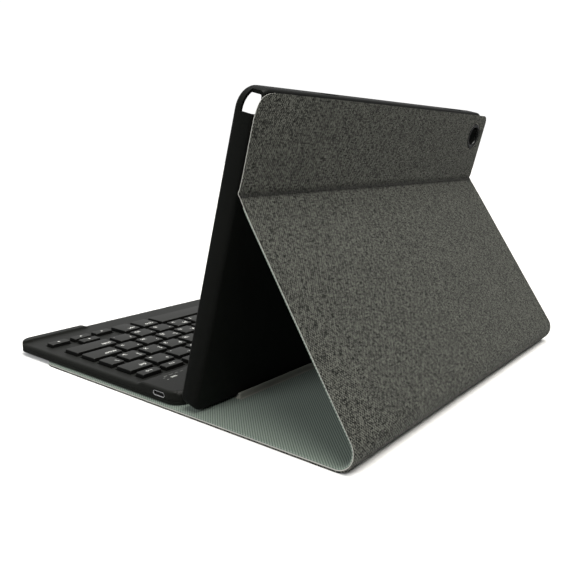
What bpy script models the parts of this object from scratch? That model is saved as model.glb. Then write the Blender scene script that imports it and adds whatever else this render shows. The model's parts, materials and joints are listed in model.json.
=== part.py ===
"""Folio case for a small tablet, with a detachable keyboard.

A soft tray holds the tablet. A fabric sheet is glued to the upper part of the tray's back, hangs
from there to the table as a stand leg, turns round a rounded spine and runs forward as the front
cover. The keyboard lies on the cover. Dimensions are in millimetres and are turned to metres where
the meshes are made. X is to the typist's right, Y runs from the typist to the back, Z is up, and
the origin is on the table under the middle of the whole case.
"""
import math

import bmesh
import bpy
from mathutils import Matrix, Vector

MM = 0.001

# Driving dimensions.
SHEET_WIDTH = 256.0
COVER_FRONT = -98.5
SPINE_REAR = 131.0
SPINE_RADIUS = 10.0
FABRIC = 0.4
GAP = 0.3
COVER_BOARD = 0.7
LEG_BOARD = 0.4
LINING = 0.4
LEG_LINING = 0.3

TRAY_WIDTH = 254.4
TRAY_HEIGHT = 162.8
TRAY_DEPTH = 11.2
TRAY_LEAN = 14.8
TRAY_FOOT_Y = 36.8
TRAY_FOOT_Z = 2.5
TRAY_CORNER = 11.0
TRAY_WALL = 1.5
TRAY_BACK = 1.2
TRAY_LIP = 1.8
FOLD_HEIGHT = 115.3
PANEL_STACK = 2.0
PANEL_TOP = 162.0
CAMERA_X = -113.3
CAMERA_HEIGHT = 146.4
CAMERA_FABRIC_HOLE = 17.5
CAMERA_HOLE = 11.0

KEYBOARD_WIDTH = 252.8
KEYBOARD_FRONT = -131.0
KEYBOARD_REAR = 24.5
KEYBOARD_FRONT_CORNER = 9.0
KEYBOARD_REAR_CORNER = 9.0
CASE_BOTTOM = 2.7
CASE_SPLIT = 4.9
DECK_TOP = 7.9
HUMP_TOP = 9.8
HUMP_START = -9.5
CASE_WALL = 1.4
SHELL = 1.0

KEY_TOP = 9.95
KEY_UNIT = 16.7
KEY_GAP = 2.7
KEY_RIGHT_EDGE = 119.7
KEY_PLAY = 0.35
KEY_FLANGE = 0.7
HALF_KEY_GAP = 1.0
FLANGE_LOW = 6.2
FLANGE_HIGH = 6.6

# Each row of keys: its front edge, its depth and its keys from right to left, as a name and a
# width in key units. Keys that share a name move as one group.
LETTER_ROW_DEPTH = 13.6
ROW_UNITS = 14.37
KEY_ROWS = [
    ("front", -108.2, 17.0, [("arrow_right_key", 1), ("arrow_up_down", 1), ("arrow_left_key", 1),
                             ("right_option_key", 1), ("right_command_key", 1), ("space_key", 5),
                             ("left_command_key", 1.0925), ("left_option_key", 1.0925),
                             ("left_control_key", 1.0925), ("function_shift_key", 1.0925)]),
    ("lower", -87.5, LETTER_ROW_DEPTH, [("right_shift_key", 2.0)] + [("lower_letter_keys", 1)] * 10
                                       + [("left_shift_key", 2.37)]),
    ("home", -70.3, LETTER_ROW_DEPTH, [("enter_key", 1.47)] + [("home_letter_keys", 1)] * 11
                                      + [("caps_lock_key", 1.9)]),
    ("upper", -53.1, LETTER_ROW_DEPTH, [("backslash_key", 0.77)] + [("upper_letter_keys", 1)] * 12
                                       + [("tab_key", 1.6)]),
    ("number", -35.9, LETTER_ROW_DEPTH, [("backspace_key", 1.2)] + [("number_keys", 1)] * 12
                                        + [("number_keys", 1.17)]),
    ("function", -18.7, 7.2, [("lock_key", ROW_UNITS / 14)] + [("function_keys", ROW_UNITS / 14)] * 13),
]


# helpers

def clear_scene():
    for old in list(bpy.data.objects):
        bpy.data.objects.remove(old, do_unlink=True)


def make_collection(name):
    made = bpy.data.collections.new(name)
    bpy.context.scene.collection.children.link(made)
    return made


def make_material(name, colour, roughness, metallic=0.0):
    material = bpy.data.materials.new(name)
    material.use_nodes = True
    shader = material.node_tree.nodes["Principled BSDF"]
    shader.inputs["Base Color"].default_value = (*colour, 1.0)
    shader.inputs["Roughness"].default_value = roughness
    shader.inputs["Metallic"].default_value = metallic
    material.diffuse_color = (*colour, 1.0)
    return material


def add_axis(name, location, turn=0.0, parent=None):
    """An empty at a point in millimetres, turned about X by an angle in degrees."""
    empty = bpy.data.objects.new(name, None)
    empty.location = Vector(location) * MM
    empty.rotation_euler = (math.radians(turn), 0.0, 0.0)
    empty.parent = parent
    case.objects.link(empty)
    return empty


def add_mesh(name, mesh, material, parent=None):
    piece = bpy.data.objects.new(name, mesh)
    mesh.materials.clear()
    if material is not None:
        mesh.materials.append(material)
        case.objects.link(piece)
    else:
        piece.hide_render = True
        piece.display_type = "WIRE"
        cutters.objects.link(piece)
    piece.parent = parent
    return piece


def rounded(corners, steps=5):
    """The outline through the corners (x, y, radius), with each corner turned as an arc."""
    points = []
    count = len(corners)
    for i, (x, y, radius) in enumerate(corners):
        corner = Vector((x, y))
        if radius <= 0.0:
            points.append(corner)
            continue
        before = (Vector(corners[i - 1][:2]) - corner).normalized()
        after = (Vector(corners[(i + 1) % count][:2]) - corner).normalized()
        half = before.angle(after) / 2
        centre = corner + (before + after).normalized() * (radius / math.sin(half))
        start = corner + before * (radius / math.tan(half)) - centre
        sweep = start.angle_signed(corner + after * (radius / math.tan(half)) - centre)
        for step in range(steps + 1):
            points.append(centre + Matrix.Rotation(-sweep * step / steps, 2) @ start)
    return points


def box_outline(x0, y0, x1, y1, radius=0.0, steps=5):
    return rounded([(x0, y0, radius), (x1, y0, radius), (x1, y1, radius), (x0, y1, radius)], steps)


def circle_outline(x, y, radius, steps=24):
    turns = [2 * math.pi * i / steps for i in range(steps)]
    return [Vector((x + radius * math.cos(a), y + radius * math.sin(a))) for a in turns]


def outline_mesh(name, outlines, low, high):
    """A flat outline, with its holes, as a solid between two heights."""
    curve = bpy.data.curves.new(name, "CURVE")
    curve.dimensions = "2D"
    curve.fill_mode = "BOTH"
    curve.extrude = (high - low) / 2 * MM
    for outline in outlines:
        spline = curve.splines.new("POLY")
        spline.points.add(len(outline) - 1)
        for point, place in zip(spline.points, outline):
            point.co = (place[0] * MM, place[1] * MM, 0.0, 1.0)
        spline.use_cyclic_u = True
    holder = bpy.data.objects.new(name, curve)
    bpy.context.scene.collection.objects.link(holder)
    ready = holder.evaluated_get(bpy.context.evaluated_depsgraph_get())
    mesh = bpy.data.meshes.new_from_object(ready)
    bpy.data.objects.remove(holder, do_unlink=True)
    bpy.data.curves.remove(curve)
    mesh.transform(Matrix.Translation((0.0, 0.0, (low + high) / 2 * MM)))
    close_mesh(mesh)
    return mesh


def close_mesh(mesh):
    form = bmesh.new()
    form.from_mesh(mesh)
    bmesh.ops.remove_doubles(form, verts=form.verts, dist=1e-7)
    bmesh.ops.recalc_face_normals(form, faces=form.faces)
    form.to_mesh(mesh)
    form.free()


def plate(name, outlines, low, high, material=None, parent=None):
    return add_mesh(name, outline_mesh(name, outlines, low, high), material, parent)


def rail(name, outlines, left, right, material=None, parent=None):
    """An outline in the Y-Z plane, run along X."""
    mesh = outline_mesh(name, outlines, left, right)
    mesh.transform(Matrix(((0, 0, 1, 0), (1, 0, 0, 0), (0, 1, 0, 0), (0, 0, 0, 1))))
    return add_mesh(name, mesh, material, parent)


def change(piece, operation, *tools):
    for tool in tools:
        boolean = piece.modifiers.new(operation.title() + " " + tool.name, "BOOLEAN")
        boolean.operation = operation
        boolean.solver = "EXACT"
        boolean.object = tool
    return piece


def round_edges(piece, width, segments=2):
    bevel = piece.modifiers.new("Rounded edges", "BEVEL")
    bevel.limit_method = "ANGLE"
    bevel.angle_limit = math.radians(50)
    bevel.width = width * MM
    bevel.segments = segments
    return piece


# places worked out from the driving dimensions

def tray_point(height, out):
    """A point on the tray's frame: a height up its back and a distance out of it, to the rear."""
    lean = math.radians(TRAY_LEAN)
    return (TRAY_FOOT_Y + height * math.sin(lean) + out * math.cos(lean),
            TRAY_FOOT_Z + height * math.cos(lean) - out * math.sin(lean))


def leg_line():
    """Where the leg leaves the spine, its angle and its length up to the fold."""
    centre = Vector((SPINE_REAR - SPINE_RADIUS, SPINE_RADIUS))
    to_fold = Vector(tray_point(FOLD_HEIGHT, PANEL_STACK)) - centre
    length = math.sqrt(to_fold.length ** 2 - SPINE_RADIUS ** 2)
    start_turn = math.atan2(to_fold.y, to_fold.x) - math.acos(SPINE_RADIUS / to_fold.length)
    start = centre + SPINE_RADIUS * Vector((math.cos(start_turn), math.sin(start_turn)))
    return start, math.degrees(start_turn) + 90.0, length


LEG_START, LEG_TURN, LEG_LENGTH = leg_line()
SPINE_START = SPINE_REAR - SPINE_RADIUS


def bend_axis():
    """The point about which the leg turns so that its sheet, laid flat, keeps its length."""
    turn = math.radians(LEG_TURN)
    flat = Vector((SPINE_START + SPINE_RADIUS * turn, 0.0))
    middle = (LEG_START + flat) / 2
    across = flat - LEG_START
    return middle + Vector((across.y, -across.x)) / (2 * math.tan(turn / 2))


clear_scene()
case = make_collection("tablet_keyboard_case")
cutters = make_collection("cutters")

fabric = make_material("woven_fabric", (0.085, 0.085, 0.072), 0.9)
board = make_material("stiffener_board", (0.30, 0.28, 0.25), 0.8)
lining = make_material("microfibre_lining", (0.10, 0.12, 0.105), 0.95)
soft_plastic = make_material("soft_tray_plastic", (0.012, 0.012, 0.012), 0.55)
glue = make_material("adhesive_sheet", (0.6, 0.55, 0.4), 0.6)
magnet = make_material("magnet", (0.45, 0.45, 0.47), 0.35, 1.0)
case_plastic = make_material("keyboard_plastic", (0.045, 0.046, 0.042), 0.5)
key_plastic = make_material("key_plastic", (0.05, 0.05, 0.05), 0.45)
steel = make_material("steel_plate", (0.5, 0.5, 0.52), 0.35, 1.0)
silicone = make_material("silicone_sheet", (0.7, 0.7, 0.68), 0.6)
circuit = make_material("circuit_laminate", (0.02, 0.14, 0.06), 0.5)
foil = make_material("battery_foil", (0.6, 0.6, 0.62), 0.4, 0.6)
connector_steel = make_material("connector_steel", (0.6, 0.6, 0.6), 0.3, 1.0)
lens = make_material("light_lens", (0.7, 0.72, 0.7), 0.3)
foot_rubber = make_material("foot_rubber", (0.02, 0.02, 0.02), 0.85)

bend_y, bend_z = bend_axis()
fold_y, fold_z = tray_point(FOLD_HEIGHT, PANEL_STACK)

leg_axis = add_axis("rear_bend_axis", (0.0, bend_y, bend_z))
leg_frame = add_axis("leg_frame", (0.0, LEG_START.x - bend_y, LEG_START.y - bend_z), LEG_TURN,
                     leg_axis)
tray_axis = add_axis("tray_fold_axis", (0.0, LEG_LENGTH, 0.0), 90.0 - TRAY_LEAN - LEG_TURN,
                     leg_frame)
tray_frame = add_axis("tray_frame", (0.0, -FOLD_HEIGHT, PANEL_STACK), 0.0, tray_axis)
keyboard_frame = add_axis("keyboard_frame", (0.0, 0.0, CASE_BOTTOM))
keyboard_floor = add_axis("keyboard_floor", (0.0, 0.0, -CASE_BOTTOM), 0.0, keyboard_frame)


# front cover

COVER_CORNER = 9.0
COVER_EDGE = 3.0
MAGNET_PLACES = (-90.0, 35.0)
MAGNET_SIZE = (36.0, 7.0)
MAGNET_Y = 12.0


def cover_outline(edge=0.0):
    side = SHEET_WIDTH / 2 - edge
    front = COVER_FRONT + edge
    rear = SPINE_START - GAP / 2 - edge
    return rounded([(-side, front, COVER_CORNER), (side, front, COVER_CORNER), (side, rear, 0.0),
                    (-side, rear, 0.0)])


def magnet_outline(x, spare=0.0):
    half_length = MAGNET_SIZE[0] / 2 + spare
    half_width = MAGNET_SIZE[1] / 2 + spare
    return box_outline(x - half_length, MAGNET_Y - half_width, x + half_length,
                       MAGNET_Y + half_width)


def front_cover():
    low = FABRIC + GAP
    plate("cover_fabric", [cover_outline()], 0.0, FABRIC, fabric)
    slots = [magnet_outline(x, GAP) for x in MAGNET_PLACES]
    plate("cover_board", [cover_outline(COVER_EDGE)] + slots, low, low + COVER_BOARD, board)
    for side, x in zip(("left", "right"), MAGNET_PLACES):
        plate("cover_magnet_" + side, [magnet_outline(x)], low, low + COVER_BOARD, magnet)
    top = low + COVER_BOARD + GAP
    plate("cover_lining", [cover_outline()], top, top + LINING, lining)
    return top + LINING


STOP_HALF = 97.0
STOP_START = 37.8
STOP_SIZE = (1.7, 2.6)
STOP_SKIN = 0.35
STOP_PLAY = 0.2


def stop_bar(floor):
    """A low rib, a bent strip of lining over a magnet, just behind the tray's foot."""
    y0, y1 = STOP_START, STOP_START + STOP_SIZE[0]
    z0, z1 = floor + GAP, floor + GAP + STOP_SIZE[1]
    cover = rail("stop_bar", [rounded([(y0, z0, 0), (y1, z0, 0), (y1, z1, 0.5), (y0, z1, 0.5)], 3)],
                 -STOP_HALF, STOP_HALF, lining)
    room = rail("stop_bar_room", [[(y0 + STOP_SKIN, z0 - 1), (y1 - STOP_SKIN, z0 - 1),
                                   (y1 - STOP_SKIN, z1 - STOP_SKIN),
                                   (y0 + STOP_SKIN, z1 - STOP_SKIN)]],
                -STOP_HALF + STOP_SKIN, STOP_HALF - STOP_SKIN)
    change(cover, "DIFFERENCE", room)
    inner = STOP_SKIN + STOP_PLAY
    rail("stop_magnet", [[(y0 + inner, z0), (y1 - inner, z0), (y1 - inner, z1 - inner),
                          (y0 + inner, z1 - inner)]], -STOP_HALF + inner, STOP_HALF - inner, magnet)


# spine, leg and fold

def bent_strip(outer, inner, steps=14):
    """An arc of sheet round the spine's centre, from the cover's plane to the leg's."""
    spare = GAP / 2 / SPINE_RADIUS
    turn = math.radians(LEG_TURN) - 2 * spare
    arc = []
    for radius, order in ((outer, range(steps + 1)), (inner, range(steps, -1, -1))):
        for step in order:
            angle = -math.pi / 2 + spare + turn * step / steps
            arc.append((SPINE_START + radius * math.cos(angle),
                        SPINE_RADIUS + radius * math.sin(angle)))
    return arc


def spine():
    half = SHEET_WIDTH / 2
    rail("spine_fabric", [bent_strip(SPINE_RADIUS, SPINE_RADIUS - FABRIC)], -half, half, fabric)
    inside = SPINE_RADIUS - FABRIC - GAP - COVER_BOARD - GAP
    rail("spine_lining", [bent_strip(inside, inside - LINING)], -half, half, lining)


LEG_TOP_SPARE = 3.2


def leg():
    half = SHEET_WIDTH / 2
    fabric_top = LEG_LENGTH - LEG_TOP_SPARE
    plate("leg_fabric", [box_outline(-half, GAP / 2, half, fabric_top)], 0.0, FABRIC, fabric,
          leg_frame)
    low = FABRIC + GAP
    plate("leg_board", [box_outline(-half + COVER_EDGE, 2.0, half - COVER_EDGE, LEG_LENGTH - 2.0)],
          low, low + LEG_BOARD, board, leg_frame)
    low += LEG_BOARD + GAP
    plate("leg_lining", [box_outline(-half, 2.0, half, LEG_LENGTH - 1.5)], low, low + LEG_LINING,
          lining, leg_frame)


def fold_strip():
    """The fabric's crease: a strip bent from the leg's plane to the plane of the tray's back."""
    half = SHEET_WIDTH / 2 - 1.0
    reach = LEG_TOP_SPARE - GAP
    bend = 2.5
    corner = Vector(tray_point(FOLD_HEIGHT, PANEL_STACK))
    turn = math.radians(LEG_TURN)
    down = corner - Vector((math.cos(turn), math.sin(turn))) * reach
    up = Vector(tray_point(FOLD_HEIGHT + reach, PANEL_STACK))
    inward = Vector((-math.sin(turn), math.cos(turn))) * FABRIC
    inner_up = Vector(tray_point(FOLD_HEIGHT + reach, PANEL_STACK - FABRIC))
    half_angle = math.radians(LEG_TURN - (90.0 - TRAY_LEAN)) / 2
    level = (Vector(tray_point(1.0, 0.0)) - Vector(tray_point(0.0, 0.0))) * FABRIC
    inner_corner = Vector(tray_point(FOLD_HEIGHT, PANEL_STACK - FABRIC)) - level * math.tan(half_angle)
    outline = rounded([(down.x, down.y, 0), (corner.x, corner.y, bend), (up.x, up.y, 0),
                       (inner_up.x, inner_up.y, 0), (inner_corner.x, inner_corner.y, bend + FABRIC),
                       (down.x + inward.x, down.y + inward.y, 0)], 4)
    rail("fold_fabric", [outline], -half, half, fabric)


# upper panel and tray

NOTCH_SIDE = 151.0
NOTCH_TOP = 121.5
NOTCH_RIM = 4.2


def panel_outline(edge):
    """The panel on the tray's back, with the corner cut away beside the tray's open corner."""
    half = TRAY_WIDTH / 2 - edge
    low = FOLD_HEIGHT + LEG_TOP_SPARE
    top = PANEL_TOP - edge
    outline = rounded([(-half, low, 0), (half, low, 0), (half, NOTCH_SIDE - 2.0, 3.0),
                       (half - 1.6, top - 5.0, 5.0), (half - 10.5, top, 4.0), (-half, top, 5.0)])
    return [outline, circle_outline(CAMERA_X, CAMERA_HEIGHT, CAMERA_FABRIC_HOLE / 2)]


def upper_panel():
    """Fabric, board and adhesive, layer on layer towards the tray's back, and the camera's collar."""
    plate("upper_panel_fabric", panel_outline(0.4), -PANEL_STACK, -PANEL_STACK + FABRIC, fabric,
          tray_frame)
    board_out = -PANEL_STACK + FABRIC + GAP
    board_in = board_out + LEG_BOARD
    plate("upper_panel_board", panel_outline(3.0), board_out, board_in, board, tray_frame)
    plate("adhesive_sheet", panel_outline(4.5), board_in + GAP, -GAP, glue, tray_frame)
    ring = [circle_outline(CAMERA_X, CAMERA_HEIGHT, radius)
            for radius in (CAMERA_FABRIC_HOLE / 2 - 0.5, CAMERA_HOLE / 2 + 0.4)]
    plate("camera_collar", ring, -PANEL_STACK + 0.1, -GAP, soft_plastic, tray_frame)


TOP_SLOTS = ((58.0, 72.0), (-97.0, -69.0))
TOP_SLOT_OUT = (3.2, 7.8)
PORT_SLOT = (72.0, 90.0)
PORT_SLOT_OUT = (2.5, 8.5)


def tray():
    half = TRAY_WIDTH / 2
    shell = plate("tray_shell", [box_outline(-half, 0, half, TRAY_HEIGHT, TRAY_CORNER, 6)], 0.0,
                  TRAY_DEPTH, soft_plastic, tray_frame)
    round_edges(shell, 1.5)
    room = plate("tray_room", [box_outline(-half + TRAY_WALL, TRAY_WALL, half - TRAY_WALL,
                                           TRAY_HEIGHT - TRAY_WALL, TRAY_CORNER - TRAY_WALL, 6)],
                 TRAY_BACK, TRAY_DEPTH - 1.0, None, tray_frame)
    edge = TRAY_WALL + TRAY_LIP
    mouth = plate("tray_mouth", [box_outline(-half + edge, edge, half - edge, TRAY_HEIGHT - edge,
                                             TRAY_CORNER - edge, 6)],
                  TRAY_DEPTH - 2.0, TRAY_DEPTH + 2.0, None, tray_frame)
    corner = plate("tray_open_corner", [box_outline(NOTCH_TOP, NOTCH_SIDE, half + 5,
                                                    TRAY_HEIGHT + 5)],
                   -2.0, TRAY_DEPTH - NOTCH_RIM, None, tray_frame)
    camera = plate("tray_camera_hole", [circle_outline(CAMERA_X, CAMERA_HEIGHT, CAMERA_HOLE / 2)],
                   -2.0, 4.0, None, tray_frame)
    change(shell, "DIFFERENCE", room, mouth, corner, camera)
    for number, (left, right) in enumerate(TOP_SLOTS):
        slot = plate("tray_top_slot_%d" % number, [box_outline(left, TRAY_HEIGHT - 4, right,
                                                               TRAY_HEIGHT + 4)],
                     *TOP_SLOT_OUT, None, tray_frame)
        change(shell, "DIFFERENCE", slot)
    port = plate("tray_port_slot", [box_outline(-half - 4, PORT_SLOT[0], -half + 4, PORT_SLOT[1])],
                 *PORT_SLOT_OUT, None, tray_frame)
    change(shell, "DIFFERENCE", port)


# keyboard

FOOT_RADIUS = 4.0
FOOT_TOP = 2.9
FOOT_PLACES = [(x, y) for y in (-90.0, 12.0) for x in (-112.0, 112.0)]
USB_Y = 9.7
USB_Z = 6.5
USB_SIZE = (9.0, 2.8)
USB_WALL = 0.35
SWITCH_Y = 9.7
LIGHT_PLACE = (109.5, 2.6)
PLATE_LAYER = (4.0, 4.3)
DOME_LAYER = (4.6, 4.9)
BATTERY_BOX = (-60.0, -2.0, 10.0, 20.0)
BATTERY_LAYER = (4.1, 8.0)
CIRCUIT_BOX = (60.0, -6.0, 122.0, 20.0)
CIRCUIT_LAYER = (4.0, 4.8)
MAGNET_LAYER = (4.0, 6.5)
PAD_START = 74.0
PAD_RAMP = 5.0
PAD_RISE = 1.7
PAD_DEPTH = 6.6


def keyboard_outline(edge=0.0):
    side = KEYBOARD_WIDTH / 2 - edge
    front = KEYBOARD_FRONT + edge
    rear = KEYBOARD_REAR - edge
    fore, aft = KEYBOARD_FRONT_CORNER - edge, KEYBOARD_REAR_CORNER - edge
    return rounded([(-side, front, fore), (side, front, fore), (side, rear, aft),
                    (-side, rear, aft)])


def bottom_case():
    floor = plate("bottom_case", [keyboard_outline()], CASE_BOTTOM, CASE_SPLIT - GAP, case_plastic,
                  keyboard_floor)
    room = plate("bottom_case_room", [keyboard_outline(CASE_WALL)], CASE_BOTTOM + SHELL, 8.0, None,
                 keyboard_floor)
    change(floor, "DIFFERENCE", room)
    names = ("foot_front_left", "foot_front_right", "foot_rear_left", "foot_rear_right")
    for name, (x, y) in zip(names, FOOT_PLACES):
        pocket = plate(name + "_pocket", [circle_outline(x, y, FOOT_RADIUS + GAP)], 1.0,
                       FOOT_TOP + GAP, None, keyboard_floor)
        change(floor, "DIFFERENCE", pocket)
        plate(name, [circle_outline(x, y, FOOT_RADIUS)], CASE_BOTTOM - GAP, FOOT_TOP,
              foot_rubber, keyboard_floor)


def case_profile(edge, low):
    """The top case from the side: a low key deck, a ramp and a raised rear deck."""
    front = KEYBOARD_FRONT + edge
    rear = KEYBOARD_REAR - edge
    return [(front, low), (rear, low), (rear, HUMP_TOP - SHELL - edge * 0.3),
            (rear - 2.0, HUMP_TOP - edge), (HUMP_START + 6.0 + edge * 0.4, HUMP_TOP - edge),
            (HUMP_START + edge * 0.4, DECK_TOP - edge), (front, DECK_TOP - edge)]


def key_spans():
    """Every key as its name, row, left, right, front and rear."""
    spans = []
    for row, front, depth, keys in KEY_ROWS:
        right = KEY_RIGHT_EDGE
        for name, units in keys:
            left = right - units * KEY_UNIT + KEY_GAP
            if name == "arrow_up_down":
                middle = front + depth / 2
                spans.append(("arrow_down_key", row, left, right, front, middle - HALF_KEY_GAP))
                spans.append(("arrow_up_key", row, left, right, middle + HALF_KEY_GAP,
                              front + depth))
            elif name in ("arrow_right_key", "arrow_left_key"):
                spans.append((name, row, left, right, front, front + depth / 2 - HALF_KEY_GAP))
            else:
                spans.append((name, row, left, right, front, front + depth))
            right -= units * KEY_UNIT
    return spans


def top_case():
    half = KEYBOARD_WIDTH / 2
    lid = rail("top_case", [case_profile(0.0, CASE_SPLIT)], -half, half, case_plastic,
               keyboard_floor)
    outer = plate("top_case_outline", [keyboard_outline()], 0.0, 14.0, None, keyboard_floor)
    room = rail("top_case_room", [case_profile(SHELL, 2.0)], -half + CASE_WALL, half - CASE_WALL,
                None, keyboard_floor)
    inner = plate("top_case_room_outline", [keyboard_outline(CASE_WALL)], 0.0, 14.0, None,
                  keyboard_floor)
    change(room, "INTERSECT", inner)
    change(lid, "INTERSECT", outer)
    change(lid, "DIFFERENCE", room)
    for side, sign in (("left", -1), ("right", 1)):
        run = [(sign * half, DECK_TOP - 0.5), (sign * PAD_START, DECK_TOP - 0.5),
               (sign * (PAD_START + PAD_RAMP), DECK_TOP + PAD_RISE),
               (sign * half, DECK_TOP + PAD_RISE)]
        mesh = outline_mesh("front_pad_" + side, [run], 0.0, PAD_DEPTH)
        mesh.transform(Matrix(((1, 0, 0, 0), (0, 0, 1, KEYBOARD_FRONT * MM), (0, 1, 0, 0),
                               (0, 0, 0, 1))))
        close_mesh(mesh)
        pad = add_mesh("front_pad_" + side, mesh, None, keyboard_floor)
        trim = plate("front_pad_trim_" + side, [keyboard_outline()], 0.0, 14.0, None,
                     keyboard_floor)
        change(pad, "INTERSECT", trim)
        change(lid, "UNION", pad)
    windows = [box_outline(left - KEY_PLAY, front - KEY_PLAY, right + KEY_PLAY, rear + KEY_PLAY)
               for _, _, left, right, front, rear in key_spans()]
    change(lid, "DIFFERENCE",
           plate("key_windows", windows, DECK_TOP - SHELL - 0.5, DECK_TOP + 3.0, None,
                 keyboard_floor))
    usb = rail("usb_window", [box_outline(USB_Y - 4.9, USB_Z - 1.8, USB_Y + 4.9, USB_Z + 1.8, 1.5, 3)],
               half - 3.0, half + 3.0, None, keyboard_floor)
    switch = rail("switch_window", [box_outline(SWITCH_Y - 5.0, USB_Z - 1.4, SWITCH_Y + 5.0,
                                                USB_Z + 1.4)],
                  -half - 3.0, -half + 3.0, None, keyboard_floor)
    x, y = LIGHT_PLACE
    light = plate("light_window", [box_outline(x - 2.3, y - 1.1, x + 2.3, y + 1.1)], HUMP_TOP - 3,
                  HUMP_TOP + 1, None, keyboard_floor)
    change(lid, "DIFFERENCE", usb, switch, light)


def keyboard_inside():
    """Key plate, key domes, battery, circuit, charging socket, status light and magnets."""
    half = KEYBOARD_WIDTH / 2
    side = half - CASE_WALL - GAP
    front = KEYBOARD_FRONT + CASE_WALL + GAP
    plate("support_plate", [box_outline(-side, front + 4, side, HUMP_START, 5.0)], *PLATE_LAYER,
          steel, keyboard_floor)
    plate("dome_sheet", [box_outline(-side + 2, front + 6, side - 2, HUMP_START - 1, 5.0)],
          *DOME_LAYER, silicone, keyboard_floor)
    plate("battery", [box_outline(*BATTERY_BOX, 2.0, 3)], *BATTERY_LAYER, foil, keyboard_floor)
    plate("circuit_board", [box_outline(*CIRCUIT_BOX)], *CIRCUIT_LAYER, circuit, keyboard_floor)
    y, z = USB_SIZE[0] / 2, USB_SIZE[1] / 2
    outer = box_outline(USB_Y - y, USB_Z - z, USB_Y + y, USB_Z + z, 1.3, 3)
    y, z = y - USB_WALL, z - USB_WALL
    inner = box_outline(USB_Y - y, USB_Z - z, USB_Y + y, USB_Z + z, 1.0, 3)
    rail("usb_connector", [outer, inner], half - 7.5, half - 0.2, connector_steel, keyboard_floor)
    x, y = LIGHT_PLACE
    plate("status_light", [box_outline(x - 2.0, y - 0.8, x + 2.0, y + 0.8)], HUMP_TOP - 1.6,
          HUMP_TOP, lens, keyboard_floor)
    for side, x in zip(("left", "right"), MAGNET_PLACES):
        plate("keyboard_magnet_" + side, [magnet_outline(x)], *MAGNET_LAYER, magnet, keyboard_floor)


def power_switch():
    """A slider whose tip stands in the window on the left side."""
    tip, wall, back = (-KEYBOARD_WIDTH / 2 + depth for depth in (-0.5, 2.0, 4.5))
    outline = [(wall, SWITCH_Y - 4.6), (back, SWITCH_Y - 4.6), (back, SWITCH_Y + 2.6),
               (wall, SWITCH_Y + 2.6), (wall, SWITCH_Y + 0.8), (tip, SWITCH_Y + 0.8),
               (tip, SWITCH_Y - 2.8), (wall, SWITCH_Y - 2.8)]
    plate("power_switch", [outline], USB_Z - 1.1, USB_Z + 1.1, key_plastic, keyboard_floor)


def key_mesh(name, left, right, front, rear):
    """A cap that narrows to its top, on a wider flange that stays under the deck."""
    form = bmesh.new()
    bmesh.ops.create_cube(form, size=1.0)
    wide = Matrix.Diagonal(((right - left + 2 * KEY_FLANGE) * MM, (rear - front + 2 * KEY_FLANGE) * MM,
                            (FLANGE_HIGH - FLANGE_LOW) * MM, 1.0))
    bmesh.ops.transform(form, matrix=wide, verts=form.verts)
    lift = Matrix.Translation((0.0, 0.0, (FLANGE_HIGH - FLANGE_LOW) / 2 * MM))
    bmesh.ops.transform(form, matrix=lift, verts=form.verts)
    form.normal_update()
    top = [face for face in form.faces if face.normal.z > 0.9]
    bmesh.ops.inset_region(form, faces=top, thickness=KEY_FLANGE * MM)
    grown = bmesh.ops.extrude_face_region(form, geom=top)
    raised = [item for item in grown["geom"] if isinstance(item, bmesh.types.BMVert)]
    bmesh.ops.delete(form, geom=top, context="FACES_ONLY")
    narrow = Matrix.Diagonal((1 - 2.0 / (right - left), 1 - 2.0 / (rear - front), 1.0, 1.0))
    rise = Matrix.Translation((0.0, 0.0, (KEY_TOP - FLANGE_HIGH) * MM))
    bmesh.ops.transform(form, matrix=rise @ narrow, verts=raised)
    bmesh.ops.recalc_face_normals(form, faces=form.faces)
    mesh = bpy.data.meshes.new(name)
    form.to_mesh(mesh)
    form.free()
    return mesh


def place_key(name, span, material):
    left, right, front, rear = span
    key = add_mesh(name, key_mesh(name, left, right, front, rear), material, keyboard_floor)
    key.location = Vector(((left + right) / 2, (front + rear) / 2, FLANGE_LOW)) * MM
    return key


def keys():
    groups = {}
    for name, _, *span in key_spans():
        groups.setdefault(name, []).append(tuple(span))
    for name, spans in groups.items():
        if len(spans) == 1:
            place_key(name, spans[0], key_plastic)
            continue
        left = min(span[0] for span in spans) - KEY_FLANGE
        right = max(span[1] for span in spans) + KEY_FLANGE
        front, rear = spans[0][2] - KEY_FLANGE, spans[0][3] + KEY_FLANGE
        web = plate(name, [box_outline(left, front, right, rear)], FLANGE_LOW, FLANGE_HIGH,
                    key_plastic, keyboard_floor)
        for number, span in enumerate(spans):
            change(web, "UNION", place_key("%s_cap_%d" % (name, number), span, None))


cover_top = front_cover()
stop_bar(cover_top)
spine()
leg()
fold_strip()
upper_panel()
tray()
bottom_case()
top_case()
keyboard_inside()
power_switch()
keys()
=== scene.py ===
# Folio case for a small tablet: a soft tray on a fabric stand, with a slim keyboard on the cover.
# Sizes are in millimetres unless a line says otherwise.
import json
import math

import bmesh
import bpy
import numpy as np
from mathutils import Matrix, Vector


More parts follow.
